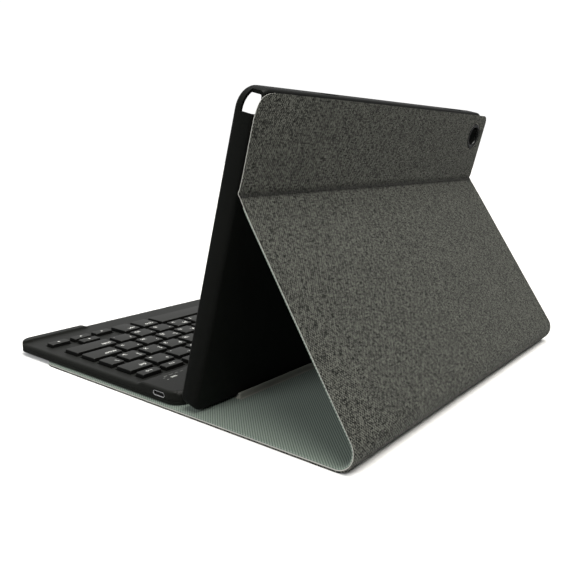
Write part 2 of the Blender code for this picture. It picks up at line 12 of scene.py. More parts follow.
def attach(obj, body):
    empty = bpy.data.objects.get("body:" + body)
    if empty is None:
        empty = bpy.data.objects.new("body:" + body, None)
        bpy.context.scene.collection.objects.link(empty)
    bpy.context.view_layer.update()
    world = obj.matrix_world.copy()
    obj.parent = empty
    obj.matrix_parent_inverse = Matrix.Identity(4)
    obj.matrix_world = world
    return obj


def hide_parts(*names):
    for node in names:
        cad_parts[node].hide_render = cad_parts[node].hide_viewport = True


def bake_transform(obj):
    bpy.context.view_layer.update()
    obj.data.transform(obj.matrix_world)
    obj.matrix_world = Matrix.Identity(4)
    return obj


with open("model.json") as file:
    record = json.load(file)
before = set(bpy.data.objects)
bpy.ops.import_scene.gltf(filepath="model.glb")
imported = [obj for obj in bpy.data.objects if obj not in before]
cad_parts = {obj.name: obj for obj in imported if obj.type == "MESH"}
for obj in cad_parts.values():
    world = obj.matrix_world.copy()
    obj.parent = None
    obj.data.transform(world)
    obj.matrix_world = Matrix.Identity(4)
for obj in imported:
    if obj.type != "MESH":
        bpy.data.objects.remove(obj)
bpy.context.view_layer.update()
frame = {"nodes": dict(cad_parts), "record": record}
scene = bpy.context.scene
mm = 0.001
print("frame loaded:", len(frame["nodes"]), "nodes")


# small tools

def hexToLinear(code, alpha=1.0):
    channels = [int(code.lstrip("#")[i:i + 2], 16) / 255 for i in (0, 2, 4)]
    return (*[c / 12.92 if c <= 0.04045 else ((c + 0.055) / 1.055) ** 2.4 for c in channels], alpha)


def addNode(tree, kind, values=None, links=None, **settings):
    # one node: settings are its own fields, values its unlinked sockets, links what feeds it
    node = tree.nodes.new(kind)
    for field, setting in settings.items():
        setattr(node, field, setting)
    for socket, number in (values or {}).items():
        node.inputs[socket].default_value = number
    for socket, source in (links or {}).items():
        tree.links.new(source, node.inputs[socket])
    return node


def addMath(tree, operation, values=None, links=None):
    return addNode(tree, "ShaderNodeMath", values, links, operation=operation).outputs[0]


def addRelief(tree, shader, height, strength, depth):
    # bump from a height, with its depth in millimetres
    bump = addNode(tree, "ShaderNodeBump", {"Strength": strength, "Distance": depth * mm},
                   {"Height": height})
    tree.links.new(bump.outputs[0], shader.inputs["Normal"])


def newMaterial(name, colour, roughness, **sockets):
    # a principled surface; sockets such as Coat_Weight are written with _ for the space
    made = bpy.data.materials.new(name)
    made.use_nodes = True
    shader = made.node_tree.nodes["Principled BSDF"]
    shader.inputs["Base Color"].default_value = hexToLinear(colour)
    shader.inputs["Roughness"].default_value = roughness
    for socket, number in sockets.items():
        shader.inputs[socket.replace("_", " ")].default_value = number
    made.diffuse_color = hexToLinear(colour)
    return made, made.node_tree, shader


def smoothStep(low, high, values):
    share = np.clip((values - low) / (high - low), 0, 1)
    return share * share * (3 - 2 * share)


def finishMesh(piece, angle=35):
    mesh = piece.data
    mesh.polygons.foreach_set("use_smooth", np.ones(len(mesh.polygons), bool))
    mesh.set_sharp_from_angle(angle=math.radians(angle))
    mesh.update()
    return piece


def addPiece(name, vertices, faces, material, uv=None, angle=35):
    # vertices (n, 3) in millimetres; uv (n, 2) in metres, one for each vertex
    mesh = bpy.data.meshes.new(name)
    mesh.from_pydata((np.asarray(vertices) * mm).tolist(), [], [list(map(int, f)) for f in faces])
    if uv is not None:
        corner = np.empty(len(mesh.loops), np.int32)
        mesh.loops.foreach_get("vertex_index", corner)
        mesh.uv_layers.new(name="UVMap").data.foreach_set("uv", np.asarray(uv)[corner].ravel())
    mesh.materials.append(material)
    piece = bpy.data.objects.new(name, mesh)
    scene.collection.objects.link(piece)
    return finishMesh(piece, angle)


def gridFaces(rows, columns, wrap=True):
    # the quads of a grid of points, with the last column joined to the first if it wraps
    i, j = np.meshgrid(np.arange(rows - 1), np.arange(columns if wrap else columns - 1),
                       indexing="ij")
    k = (j + 1) % columns
    quads = [i * columns + j, i * columns + k, (i + 1) * columns + k, (i + 1) * columns + j]
    return np.stack(quads, -1).reshape(-1, 4)


def roundedRing(x0, x1, y0, y1, radius, steps=6):
    # a counter-clockwise outline: four corner arcs in order from low y and high x
    r = np.broadcast_to(np.asarray(radius, float), 4)
    turn = np.linspace(0, math.pi / 2, steps + 1)
    centres = [(x1 - r[0], y0 + r[0]), (x1 - r[1], y1 - r[1]), (x0 + r[2], y1 - r[2]),
               (x0 + r[3], y0 + r[3])]
    arcs = [np.column_stack([c[0] + r[i] * np.cos(turn + (i - 1) * math.pi / 2),
                             c[1] + r[i] * np.sin(turn + (i - 1) * math.pi / 2)])
            for i, c in enumerate(centres)]
    return np.concatenate(arcs)


def ringStack(rings, heights):
    # rings (rows, n, 2) lifted to heights; both ends are capped with one flat face each
    rings = np.asarray(rings)
    rows, count = rings.shape[:2]
    lift = np.repeat(np.asarray(heights, float)[:, None], count, 1)[..., None]
    points = np.concatenate([rings, lift], 2).reshape(-1, 3)
    faces = gridFaces(rows, count).tolist()
    faces.append(list(range(count))[::-1])
    faces.append([(rows - 1) * count + k for k in range(count)])
    return points, faces


def cutWith(piece, *cutters, angle=35):
    # takes the cutters away in one step, and turns the faces out again if the cut turned them in
    first = cutters[0]
    if len(cutters) > 1:
        with bpy.context.temp_override(active_object=first, selected_editable_objects=cutters):
            bpy.ops.object.join()
    step = piece.modifiers.new("cut", "BOOLEAN")
    step.operation, step.solver, step.object = "DIFFERENCE", "EXACT", first
    graph = bpy.context.evaluated_depsgraph_get()
    done = bpy.data.meshes.new_from_object(piece.evaluated_get(graph))
    piece.modifiers.clear()
    piece.data = done
    done.name = piece.name
    bpy.data.objects.remove(first)
    form = bmesh.new()
    form.from_mesh(done)
    if form.calc_volume(signed=True) < 0:
        bmesh.ops.reverse_faces(form, faces=form.faces)
        form.to_mesh(done)
    form.free()
    return finishMesh(piece, angle)


def sideways(a, b, c):
    # an outline in y and z, lifted along x
    return np.stack([c, a, b], -1)


def blockCutter(ring, low, high, place=None):
    # a straight block over an outline, put in place by a function of (x, y, z)
    points, faces = ringStack([ring, ring], [low, high])
    if place is not None:
        points = place(points[:, 0], points[:, 1], points[:, 2])
    return addPiece("cutter", points, faces, spareMaterial)


spareMaterial = bpy.data.materials.new("spare")


# frames of reference

# the notch is cut across and up; each slot is a span along its edge, one out and one cut through
tray = {"footY": 36.8, "footZ": 2.5, "turn": math.radians(75.2), "halfWidth": 127.2,
        "height": 162.8, "corner": 11.0, "footCorner": 6.0, "notch": (121.5, 135, 151, 170),
        "topSlots": ((58.0, 72.0), (-97.0, -69.0)), "topSlotOut": (3.2, 7.8),
        "topSlotCut": (156, 168), "portSlot": (72.0, 90.0), "portSlotOut": (2.5, 8.5),
        "portSlotCut": (-132, -122)}


def trayPlace(x, height, out):
    # a point on the tray: across, up its back and out from its back towards the screen
    c, s = math.cos(tray["turn"]), math.sin(tray["turn"])
    return np.stack(np.broadcast_arrays(x, tray["footY"] + height * c - out * s,
                                        tray["footZ"] + height * s + out * c), -1)


# materials

# the last two entries place the fold and set how dark the painted shade along it is
weave = {"yarn": 0.78, "dark": "#050604", "light": "#565751", "relief": 0.12,
         "slubs": ((0.45, 3.6), (3.6, 0.45)), "contrast": (0.31, 0.71), "skew": 1.3,
         "shares": {"slub": 0.4, "single": 0.34, "over": 0.22, "patch": 0.04},
         "creaseAt": 355.6, "creaseShadeTone": 0.3}


def wovenMelange():
    # Woven polyester melange: matt, mid grey; at each crossing the warp or the weft lies on top,
    # and each yarn has light and dark slubs. The real yarn is near 0.4 mm and is drawn coarser.
    made, tree, shader = newMaterial("woven polyester melange", "#3c3d39", 0.9,
                                     Specular_IOR_Level=0.12, Sheen_Weight=0.05, Sheen_Roughness=0.5)
    yarn = weave["yarn"] * mm
    uv = addNode(tree, "ShaderNodeUVMap", uv_map="UVMap").outputs[0]
    cell = addNode(tree, "ShaderNodeVectorMath", {1: (yarn, yarn, yarn)}, {0: uv},
                   operation="DIVIDE").outputs[0]
    parts = addNode(tree, "ShaderNodeSeparateXYZ", links={0: cell})
    waves = []
    for k in (0, 1):
        turn = addMath(tree, "MULTIPLY", {1: math.pi}, {0: parts.outputs[k]})
        waves.append(addMath(tree, "SINE", links={0: turn}))
    woven = addMath(tree, "MULTIPLY", links={0: waves[0], 1: waves[1]})
    over = addMath(tree, "GREATER_THAN", {1: 0.0}, {0: woven})
    whole = addNode(tree, "ShaderNodeVectorMath", links={0: cell}, operation="FLOOR").outputs[0]
    single = addNode(tree, "ShaderNodeTexWhiteNoise", links={"Vector": whole},
                     noise_dimensions="2D").outputs["Value"]
    # slubs: noise drawn out along the warp and along the weft
    slubs = []
    for across, along in weave["slubs"]:
        stretched = addNode(tree, "ShaderNodeVectorMath", {1: (1 / (across * mm), 1 / (along * mm), 1)},
                            {0: uv}, operation="MULTIPLY").outputs[0]
        noise = addNode(tree, "ShaderNodeTexNoise", {"Scale": 1.0, "Detail": 1.0, "Roughness": 0.5},
                        {"Vector": stretched}, noise_dimensions="2D").outputs[0]
        slubs.append(addNode(tree, "ShaderNodeMapRange", {1: 0.28, 2: 0.72}, {0: noise}).outputs[0])
    slub = addNode(tree, "ShaderNodeMix", links={0: over, 2: slubs[0], 3: slubs[1]}).outputs[0]
    patch = addNode(tree, "ShaderNodeTexNoise", {"Scale": 38.0, "Detail": 2.0}, {"Vector": uv},
                    noise_dimensions="2D").outputs[0]
    # the tone is shared out between them, then drawn apart and skewed towards the dark
    tone = addNode(tree, "ShaderNodeValue").outputs[0]
    tone.default_value = 0.0
    for name, source in (("slub", slub), ("single", single), ("over", over), ("patch", patch)):
        tone = addMath(tree, "MULTIPLY_ADD", {1: weave["shares"][name]}, {0: source, 2: tone})
    low, high = weave["contrast"]
    tone = addNode(tree, "ShaderNodeMapRange", {1: low, 2: high}, {0: tone}).outputs[0]
    tone = addMath(tree, "POWER", {1: weave["skew"]}, {0: tone})
    colour = addNode(tree, "ShaderNodeMix", {6: hexToLinear(weave["dark"]),
                                             7: hexToLinear(weave["light"])},
                     {0: tone}, data_type="RGBA").outputs[2]
    # painted shade at the fold: the colour is darkened along a soft line, standing in for the shadow in
    # the crease
    along = addNode(tree, "ShaderNodeSeparateXYZ", links={0: uv}).outputs[1]
    away = addMath(tree, "SUBTRACT", {1: weave["creaseAt"] * mm}, {0: along})
    away = addMath(tree, "ABSOLUTE", links={0: away})
    creaseShadeFactor = addNode(tree, "ShaderNodeMapRange", {1: 0.3 * mm, 2: 2.4 * mm, 3: weave["creaseShadeTone"],
                                                   4: 1.0}, {0: away},
                      interpolation_type="SMOOTHSTEP").outputs[0]
    creaseShadedColour = addNode(tree, "ShaderNodeVectorMath", links={0: colour, "Scale": creaseShadeFactor},
                     operation="SCALE").outputs[0]
    tree.links.new(creaseShadedColour, shader.inputs["Base Color"])
    relief = addMath(tree, "MULTIPLY_ADD", {1: 0.4}, {0: woven, 2: tone})
    addRelief(tree, shader, relief, 0.6, weave["relief"])
    return made


lining = {"low": "#3f4842", "high": "#757f76", "rib": 1.15, "turn": -45.0}


def ribbedMicrofibre():
    # Brushed microfibre with a fine diagonal rib: soft, slightly green grey, paler on the rib tops.
    # The real rib is near 0.8 mm and is drawn a little wider.
    made, tree, shader = newMaterial("ribbed microfibre lining", "#6c736c", 0.9,
                                     Specular_IOR_Level=0.15, Sheen_Weight=0.1, Sheen_Roughness=0.4)
    ribs = lining["rib"] * mm
    uv = addNode(tree, "ShaderNodeUVMap", uv_map="UVMap").outputs[0]
    turned = addNode(tree, "ShaderNodeMapping", {"Rotation": (0, 0, math.radians(lining["turn"]))},
                     {"Vector": uv}).outputs[0]
    wave = addNode(tree, "ShaderNodeTexWave", {"Scale": math.pi / 10 / ribs, "Distortion": 0.4,
                                               "Detail": 1.0, "Detail Scale": 2.0},
                   {"Vector": turned}, wave_type="BANDS", bands_direction="Y",
                   wave_profile="SIN").outputs["Fac"]
    nap = addNode(tree, "ShaderNodeTexNoise", {"Scale": 900.0, "Detail": 2.0}, {"Vector": uv},
                  noise_dimensions="2D").outputs[0]
    both = addMath(tree, "MULTIPLY_ADD", {1: 0.35}, {0: nap, 2: wave})
    ramp = addNode(tree, "ShaderNodeValToRGB", links={"Fac": both})
    ramp.color_ramp.elements[0].color = hexToLinear(lining["low"])
    ramp.color_ramp.elements[1].color = hexToLinear(lining["high"])
    tree.links.new(ramp.outputs["Color"], shader.inputs["Base Color"])
    addRelief(tree, shader, both, 0.4, 0.1)
    return made


def speckled(name, colour, second, roughness, grain, relief, change=0.5, **sockets):
    # a moulded, pressed or printed surface: fine noise tones the colour, the gloss and the relief,
    # and slow noise the colour; grain and relief in millimetres
    made, tree, shader = newMaterial(name, colour, roughness, **sockets)
    place = addNode(tree, "ShaderNodeTexCoord").outputs["Object"]
    noise = addNode(tree, "ShaderNodeTexNoise", {"Scale": 1 / (grain * mm), "Detail": 3.0,
                                                 "Roughness": 0.6}, {"Vector": place}).outputs[0]
    slow = addNode(tree, "ShaderNodeTexNoise", {"Scale": 22.0, "Detail": 2.0},
                   {"Vector": place}).outputs[0]
    share = addMath(tree, "MULTIPLY", {1: change}, {0: noise})
    share = addMath(tree, "MULTIPLY_ADD", {1: 1 - change}, {0: slow, 2: share})
    tone = addNode(tree, "ShaderNodeMix", {6: hexToLinear(colour), 7: hexToLinear(second)},
                   {0: share}, data_type="RGBA").outputs[2]
    tree.links.new(tone, shader.inputs["Base Color"])
    gloss = addNode(tree, "ShaderNodeMapRange", {3: roughness - 0.07, 4: roughness + 0.07},
                    {0: noise}).outputs[0]
    tree.links.new(gloss, shader.inputs["Roughness"])
    addRelief(tree, shader, noise, 0.5, relief)
    return made


finishes = {
    "fabric": wovenMelange(),
    "lining": ribbedMicrofibre(),
    # pressed paper board with a raw sawn edge: warm grey, fibrous
    "board": speckled("pale fibre board edge", "#8b8a86", "#a8a7a1", 0.85, 0.5, 0.08,
                      Specular_IOR_Level=0.2),
    # injected TPU: satin black, soft, with a faint orange peel
    "tray": speckled("satin black TPU", "#080908", "#0e0f0d", 0.5, 0.7, 0.02, 0.4,
                     Specular_IOR_Level=0.12),
    # the camera collar is moulded from the same TPU in a polished cavity
    "collar": speckled("polished black collar", "#0b0c0b", "#131413", 0.25, 0.8, 0.01, 0.4,
                       Specular_IOR_Level=0.6),
    # moulded ABS with a spark-eroded texture: even, near black, low gloss
    "keyboard": speckled("textured charcoal ABS", "#0e0f0d", "#141512", 0.5, 0.45, 0.03, 0.6,
                         Specular_IOR_Level=0.25),
    "key": speckled("matt key cap ABS", "#131413", "#1a1b18", 0.5, 0.4, 0.02, 0.6,
                    Specular_IOR_Level=0.45),
    # the key flanks: the cap plastic made near black, as painted shade
    "keyFlankShade": speckled("key flank ABS with painted shade", "#050505", "#090908", 0.45, 0.4, 0.01,
                        Specular_IOR_Level=0.12),
    "fadedInk": speckled("worn grey pad print", "#6e6f6c", "#858682", 0.6, 0.3, 0.01,
                         Specular_IOR_Level=0.2),
    # the rib's cloth: less green than the lining, and paler than it as painted light on the rib's top
    "litRibCloth": speckled("brushed grey edge cloth with painted light", "#73736c", "#8a8a82", 0.9, 0.5, 0.06,
                         Specular_IOR_Level=0.1),
    "ink": speckled("white pad print", "#c2c3c0", "#d6d6d2", 0.6, 0.3, 0.01,
                    Specular_IOR_Level=0.3),
    "rubber": speckled("black silicone rubber", "#131312", "#1c1c1a", 0.7, 0.5, 0.03,
                       Specular_IOR_Level=0.3),
    "steel": speckled("nickel plated steel", "#d9dadc", "#ececec", 0.42, 0.8, 0.01, Metallic=0.75),
    "magnet": speckled("nickel plated magnet", "#8d8c88", "#a5a49f", 0.35, 0.9, 0.02, Metallic=1.0),
    "plate": speckled("rolled steel sheet", "#7f8183", "#94979a", 0.4, 1.2, 0.02, Metallic=1.0),
    "silicone": speckled("clear grey silicone sheet", "#8c9096", "#a4a8ad", 0.5, 1.0, 0.03),
    "laminate": speckled("green solder resist", "#12442a", "#1c5a38", 0.4, 0.8, 0.02),
    "foil": speckled("battery foil", "#9da0a3", "#b6b8ba", 0.35, 1.5, 0.06, Metallic=0.8),
    "adhesive": speckled("clear tape adhesive", "#c9c4b4", "#d8d4c6", 0.45, 1.5, 0.03),
    "lens": speckled("smoked light lens", "#8a8c86", "#a2a49e", 0.25, 0.6, 0.01,
                     Coat_Weight=0.3),
    # the same black is also painted on the socket's deep walls as shade
    "tongue": speckled("black moulded tongue and painted socket shade", "#101010", "#191918", 0.45, 0.4, 0.01),
}
print("materials made:", len(finishes))

# the fabric sheet: cover, rounded spine, stand leg and the panel on the tray's back

sheet = {"front": -98.5, "spineStart": 219.5, "spineRadius": 10.0, "legTurn": 121.98,
         "legLength": 115.73, "panelTurn": 75.2, "foldRadius": 1.6, "foldHeight": 115.3,
         "halfWidth": 128.0, "panelHalf": 126.9, "frontCorner": 9.0, "panelTop": 161.6,
         "coverLayers": (0.9, 1.35, 2.1), "legLayers": (0.45, 0.75, 1.35), "split": 1.0,
         "crease": (0.35, 0.9), "panelCorner": 5.0}


def sheetTable():
    # direction along the sheet, straight or turning evenly, then the place by summing small steps
    turn = math.radians(sheet["legTurn"] - sheet["panelTurn"])
    tangent = sheet["foldRadius"] * math.tan(turn / 2)
    legStart = sheet["spineStart"] + sheet["spineRadius"] * math.radians(sheet["legTurn"])
    foldStart = legStart + sheet["legLength"] - tangent
    foldEnd = foldStart + sheet["foldRadius"] * turn
    end = foldEnd - tangent + sheet["panelTop"] - sheet["foldHeight"]
    marks = [0.0, sheet["spineStart"], legStart, foldStart, foldEnd, end]
    angles = np.radians([0, 0, sheet["legTurn"], sheet["legTurn"], sheet["panelTurn"],
                         sheet["panelTurn"]])
    along = np.linspace(0, end, 40001)
    angle = np.interp(along, marks, angles)
    step = along[1]
    middle = (angle[1:] + angle[:-1]) / 2
    y = sheet["front"] + np.concatenate([[0], np.cumsum(np.cos(middle) * step)])
    z = np.concatenate([[0], np.cumsum(np.sin(middle) * step)])
    return marks, along, angle, y, z


sheetMarks, sheetAlong, sheetAngle, sheetY, sheetZ = sheetTable()
legStart, foldStart, foldEnd, sheetEnd = sheetMarks[2:]
splitAt = foldStart - sheet["split"]


def sheetStations(start, end):
    # close together round the spine, the fold and the ends, wide apart on the flats
    flats = np.arange(start, end, 6.0)
    tight = [np.arange(a, b, step) for a, b, step in (
        (sheetMarks[1] - 3, legStart + 3, 0.8), (foldStart - 2.4, foldEnd + 3, 0.2))]
    near = np.array([0, 0.2, 0.6, 1.3, 2.2, 3.4, 5.0, 7.0, 9.0])
    every = np.concatenate([flats, *tight, start + near, end - near, sheetMarks])
    every = np.unique(np.round(every, 3))
    every = every[(every >= start - 1e-6) & (every <= end + 1e-6)]
    return every[np.concatenate([[True], np.diff(every) > 0.12])]


def sheetLayer(name, material, stations, outer, inner, left, right, ease=0.12):
    # a thin closed solid along the sheet's path: outer and inner are depths under its outside,
    # left and right its edges; the faces draw together by ease at the edges, as cut cloth does
    y = np.interp(stations, sheetAlong, sheetY)
    z = np.interp(stations, sheetAlong, sheetZ)
    angle = np.interp(stations, sheetAlong, sheetAngle)
    inset = np.array([0, 0.25, 1.0, 3.0])
    flat = np.linspace(0, 1, 22)[1:-1]
    width = (right - left)[:, None]
    across = np.concatenate([left[:, None] + inset, left[:, None] + 3 + flat * (width - 6),
                             right[:, None] - inset[::-1]], 1)
    count = across.shape[1]
    drawn = np.zeros(count)
    drawn[[0, -1]], drawn[[1, -2]] = ease, ease * 0.15
    upper = outer[:, None] + drawn
    under = inner[:, None] - drawn
    x = np.concatenate([across[:, ::-1], across], 1)
    depth = np.concatenate([upper[:, ::-1], under], 1)
    normalY, normalZ = -np.sin(angle)[:, None], np.cos(angle)[:, None]
    points = np.stack([x, y[:, None] + normalY * depth, z[:, None] + normalZ * depth], -1)
    rows, columns = x.shape
    j = np.arange(count - 1)
    cap = np.stack([j, columns - 1 - j, columns - 2 - j, j + 1], -1)
    faces = np.concatenate([gridFaces(rows, columns), cap, cap[:, ::-1] + (rows - 1) * columns])
    uv = np.stack([x, np.repeat(stations[:, None], columns, 1)], -1).reshape(-1, 2) * mm
    return addPiece(name, points.reshape(-1, 3), faces, material, uv)


def sheetHalf(stations, edge=0.0):
    # half the width: rounded front corners, then straight, and a little less above the fold
    half = sheet["halfWidth"] - (sheet["halfWidth"] - sheet["panelHalf"]) * smoothStep(
        foldStart - 14, foldEnd + 10, stations)
    radius = sheet["frontCorner"]
    short = np.clip(radius - stations, 0, radius)
    return half - edge - (radius - np.sqrt(np.maximum(radius ** 2 - short ** 2, 0)))


def layerDepths(stations):
    # how deep the fabric, the board and the lining reach: the cover is built up, the leg is thin
    leg = smoothStep(sheetMarks[1] - 2, legStart + 4, stations)
    return [cover + (thin - cover) * leg
            for cover, thin in zip(sheet["coverLayers"], sheet["legLayers"])]


def lowerSheet():
    s = sheetStations(0.0, splitAt)
    half = sheetHalf(s)
    fabric = sheetLayer("coverAndLegFabric", finishes["fabric"], s, 0 * s, layerDepths(s)[0],
                        -half, half)
    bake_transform(fabric)
    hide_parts("cover_fabric", "spine_fabric", "leg_fabric")
    s = sheetStations(0.3, splitAt)
    half = sheetHalf(s, 0.05)
    core = sheetLayer("coverAndLegBoard", finishes["board"], s, layerDepths(s)[0] + 0.02,
                      layerDepths(s)[1], -half, half, 0.03)
    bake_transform(core)
    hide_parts("cover_board", "leg_board")
    s = sheetStations(0.2, sheetMarks[2] + sheet["legLength"] - 6.0)
    half = sheetHalf(s, 0.1)
    inside = sheetLayer("coverAndLegLining", finishes["lining"], s, layerDepths(s)[1] + 0.02,
                        layerDepths(s)[2], -half, half, 0.1)
    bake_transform(inside)
    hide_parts("cover_lining", "spine_lining", "leg_lining")


def panelEdges(stations, edge=0.0):
    # the panel's two edges: a small round corner at the top left and a wider one at the top right
    height = sheet["foldHeight"] + stations - foldEnd
    half = sheetHalf(stations, edge)
    top = height[-1]
    radius = sheet["panelCorner"]
    short = np.clip(height - (top - radius), 0, radius)
    wide = sheet["halfWidth"] - edge
    left = -wide + radius - np.sqrt(np.maximum(radius ** 2 - short ** 2, 0))
    cut = np.interp(height, top - np.array([60, 12.6, 11, 8, 5, 3, 1.6, 0.7, 0.2, 0.0]),
                    [0, 0, 0.15, 0.55, 1.5, 2.8, 4.6, 6.8, 9.0, 11.5])
    return left, half - cut


def upperSheet():
    crease = trayPlace(0, sheet["foldHeight"], -2.0)
    for name, finish, slotName, spare, outer, inner, ease, nodes in (
            ("foldAndPanelFabric", "fabric", "woven_fabric", 0.0, 0.0, sheet["legLayers"][0], 0.1,
             ("fold_fabric", "upper_panel_fabric")),
            ("foldAndPanelBoard", "board", "stiffener_board", 0.05, sheet["legLayers"][0] + 0.02,
             sheet["legLayers"][1], 0.03, ("upper_panel_board",))):
        s = sheetStations(splitAt, sheetEnd - spare)
        left, right = panelEdges(s, spare)
        groove = sheet["crease"][0] * np.exp(-((s - foldStart - 1.2) / sheet["crease"][1]) ** 2)
        groove = groove * smoothStep(splitAt, splitAt + 0.5, s)
        piece = sheetLayer(name, finishes[finish], s, outer + groove, inner + groove, left, right,
                           ease)
        cutWith(piece, blockCutter(cameraRing(cameraHole["fabric"]), -4.0, 0.6, trayPlace))
        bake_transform(piece)
        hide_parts(*nodes)


cameraHole = {"x": -113.3, "height": 146.4, "fabric": 18.8, "tray": 11.6}


def cameraRing(size):
    x, h, r = cameraHole["x"], cameraHole["height"], size / 2
    return roundedRing(x - r, x + r, h - r, h + r, r - 0.001, 12)


lowerSheet()
upperSheet()
print("fabric sheet made")


# the magnetic rib under the lining that the tray's foot leans on

def stopRib():
    box = {"half": 97.0, "y": (37.8, 39.5), "base": 2.12, "top": 5.0}
    middle, reach = sum(box["y"]) / 2, (box["y"][1] - box["y"][0]) / 2
    lift = box["top"] - box["base"]
    turn = np.linspace(0, math.pi, 13)
    # a rounded strip over a flat foot that flares a little into the lining
    y = np.concatenate([[middle + reach + 1.6, middle + reach + 0.5],
                        middle + reach * np.cos(turn), [middle - reach - 0.5, middle - reach - 1.6]])
    z = np.concatenate([[0, 0.15], lift - reach * 0.9 + reach * 0.9 * np.sin(turn), [0.15, 0]])
    x = np.concatenate([[-1, -0.994, -0.986], np.linspace(-0.97, 0.97, 25), [0.986, 0.994, 1]])
    fade = np.clip((1 - np.abs(x)) / 0.014, 0, 1) ** 0.5
    points = np.stack(np.broadcast_arrays(x[:, None] * box["half"], y[None, :],
                                          box["base"] + z[None, :] * (0.12 + 0.88 * fade[:, None])), -1)
    rows, columns = points.shape[:2]
    faces = gridFaces(rows, columns).tolist()
    faces.append(list(range(columns)))
    faces.append([(rows - 1) * columns + k for k in range(columns)][::-1])
    flatUv = points[..., :2].reshape(-1, 2) * mm
    flatUv[:, 1] -= sheet["front"] * mm
    rib = addPiece("stopRib", points.reshape(-1, 3), faces, finishes["litRibCloth"], flatUv)
    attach(rib, "front_cover")
    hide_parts("stop_bar")


stopRib()


# the soft tray

def trayShell():
    # insets from the outline and heights from the back: back, rounded side, lip, inner wall, floor
    profile = np.array([(24, 0), (2.4, 0), (1.5, 0.18), (0.75, 0.62), (0.25, 1.25), (0, 2.1),
                        (0, 9.3), (0.12, 10.0), (0.5, 10.65), (1.1, 11.05), (1.8, 11.2),
                        (2.6, 11.2), (3.05, 11.05), (3.3, 10.7), (3.3, 10.45), (3.1, 10.25),
                        (1.6, 10.2), (1.5, 10.0), (1.5, 1.9), (1.8, 1.4), (2.4, 1.2), (24, 1.2)])
    half, top, corner = tray["halfWidth"], tray["height"], tray["corner"]
    radii = np.array([tray["footCorner"], corner, corner, tray["footCorner"]])
    rings = [roundedRing(-half + d, half - d, d, top - d, np.maximum(radii - d, 1.0), 10)
             for d in profile[:, 0]]
    points, faces = ringStack(rings, profile[:, 1])
    shell = addPiece("trayShell", trayPlace(*points.T), faces, finishes["tray"])
    # the open corner, the camera hole, two slots in the top edge and one in the left edge
    hole = cameraRing(cameraHole["tray"])
    cuts = [blockCutter(roundedRing(*tray["notch"], 2.4, 4), -2, 7.0, trayPlace),
            blockCutter(hole, -2, 4, trayPlace)]
    for left, right in tray["topSlots"]:
        ring = roundedRing(left, right, *tray["topSlotOut"], 1.6, 5)
        cuts.append(blockCutter(ring[::-1], *tray["topSlotCut"],
                                lambda x, z, h: trayPlace(x, h, z)))
    ring = roundedRing(*tray["portSlot"], *tray["portSlotOut"], 1.8, 5)
    cuts.append(blockCutter(ring, *tray["portSlotCut"], lambda h, z, x: trayPlace(x, h, z)))
    cutWith(shell, *cuts)
    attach(shell, "tray")
    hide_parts("tray_shell")


def cameraCollar():
    # a round-edged ring turned about the camera hole: radius and height pairs
    profile = np.array([(6.2, -0.35), (6.2, -1.2), (6.5, -1.65), (7.1, -1.95), (8.1, -2.0),
                        (8.7, -1.8), (9.0, -1.35), (9.0, -0.35)])
    turn = np.linspace(0, 2 * math.pi, 49)[:-1]
    x = cameraHole["x"] + profile[:, 0][:, None] * np.cos(turn)
    h = cameraHole["height"] + profile[:, 0][:, None] * np.sin(turn)
    points = trayPlace(x, h, np.repeat(profile[:, 1][:, None], 48, 1)).reshape(-1, 3)
    faces = gridFaces(len(profile), 48)
    last = (len(profile) - 1) * 48
    k = np.arange(48)
    close = np.stack([last + k, last + (k + 1) % 48, (k + 1) % 48, k], -1)
    faces = np.concatenate([faces, close])
    collar = addPiece("cameraCollar", points, faces, finishes["collar"])
    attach(collar, "tray")
    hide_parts("camera_collar")


trayShell()
cameraCollar()
print("tray made")


# the keyboard's case

keyboard = {"half": 127.0, "front": -131.0, "rear": 24.5, "frontCorner": 9.0, "rearCorner": 9.0,
            "bottom": 2.3, "split": 4.9, "deck": 7.9, "hump": 9.8, "rampStart": -9.5,
            "rampEnd": -3.5, "pad": 1.7, "padStart": 74.0, "padRamp": 5.0, "padEdge": -125.2,
            "usb": (9.7, 6.5), "switchY": 9.7, "light": (109.5, 2.6),
            "feet": ((-112.0, 112.0), (-90.0, 12.0), 4.3)}

keys = {"top": 9.95, "low": 6.3, "unit": 16.7, "gap": 2.7, "right": 119.7, "play": 0.35,
        "inset": 1.0, "halfGap": 1.0}

# each row: front edge, depth, then node, width in units and the two marks, from right to left
latin = {"upper": "][POIUYTREWQ", "home": "';LKJHGFDSA", "lower": "/.,MNBVCXZ"}
second = {"upper": "ЪХЗЩШГНЕКУЦЙ", "home": "ЭЖДЛОРПАВЫФ", "lower": ".ЮБЬТИМСЧЯ"}


def letterKeys(row):
    return [(row + "_letter_keys", 1.0, mark, other)
            for mark, other in zip(latin[row], second[row])]


